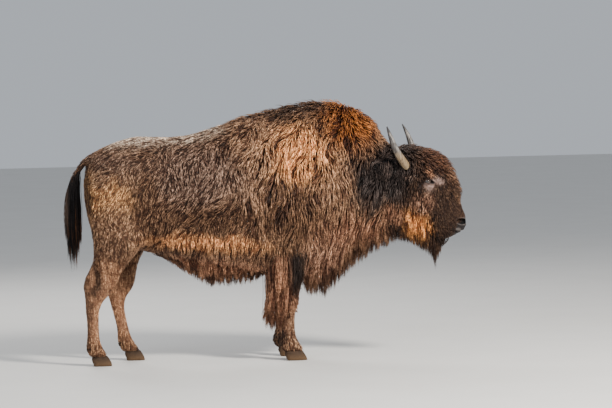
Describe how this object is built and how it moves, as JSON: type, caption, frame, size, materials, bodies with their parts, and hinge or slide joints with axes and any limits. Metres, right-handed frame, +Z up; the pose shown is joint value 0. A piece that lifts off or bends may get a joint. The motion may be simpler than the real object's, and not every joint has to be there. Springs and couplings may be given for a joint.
{
  "type": "standing american bison",
  "caption": "Life-size standing bison with a shoulder hump, lowered bearded head turned slightly to its right, short upcurved horns and shaggy coat.",
  "frame": {"origin": "on the ground under the middle of the whole animal", "axes": "+X towards the nose along the body, +Y to the animal's left, +Z up"},
  "size_m": [2.5804, 0.716, 1.6696],
  "materials": {
    "coat": "dense woolly coat over hide, ochre brown behind, darker and longer on the forehand",
    "long_hair": "long hanging hair, dark reddish brown to black brown",
    "horn": "grey horn, tan at the base and dark at the tip",
    "hoof": "dull dark hoof horn with growth rings",
    "eye": "wet dark brown eye"
  },
  "bodies": {
    "root": {"rump": "coat", "hind_leg_right_shank": "coat", "hind_leg_right_cannon": "coat", "hind_leg_right_pastern": "coat", "hind_leg_left_shank": "coat", "hind_leg_left_cannon": "coat", "hind_leg_left_pastern": "coat", "shoulders": "coat", "fore_leg_right_forearm": "coat", "fore_leg_right_cannon": "coat", "fore_leg_right_pastern": "coat", "fore_leg_left_forearm": "coat", "fore_leg_left_cannon": "coat", "fore_leg_left_pastern": "coat", "barrel": "coat", "neck": "coat", "head": "coat", "throat_hair": "long_hair", "belly_hair": "long_hair", "beard": "long_hair", "horn_right": "horn", "ear_right": "coat", "eye_right": "eye", "foreleg_hair_right": "long_hair", "horn_left": "horn", "ear_left": "coat", "eye_left": "eye", "foreleg_hair_left": "long_hair", "hind_leg_right_claw_inner": "hoof", "hind_leg_right_dewclaw_inner": "hoof", "hind_leg_right_claw_outer": "hoof", "hind_leg_right_dewclaw_outer": "hoof", "hind_leg_left_claw_inner": "hoof", "hind_leg_left_dewclaw_inner": "hoof", "hind_leg_left_claw_outer": "hoof", "hind_leg_left_dewclaw_outer": "hoof", "fore_leg_right_claw_inner": "hoof", "fore_leg_right_dewclaw_inner": "hoof", "fore_leg_right_claw_outer": "hoof", "fore_leg_right_dewclaw_outer": "hoof", "fore_leg_left_claw_inner": "hoof", "fore_leg_left_dewclaw_inner": "hoof", "fore_leg_left_claw_outer": "hoof", "fore_leg_left_dewclaw_outer": "hoof", "tail_dock": "coat", "tail_brush": "long_hair"}
  },
  "joints": []
}
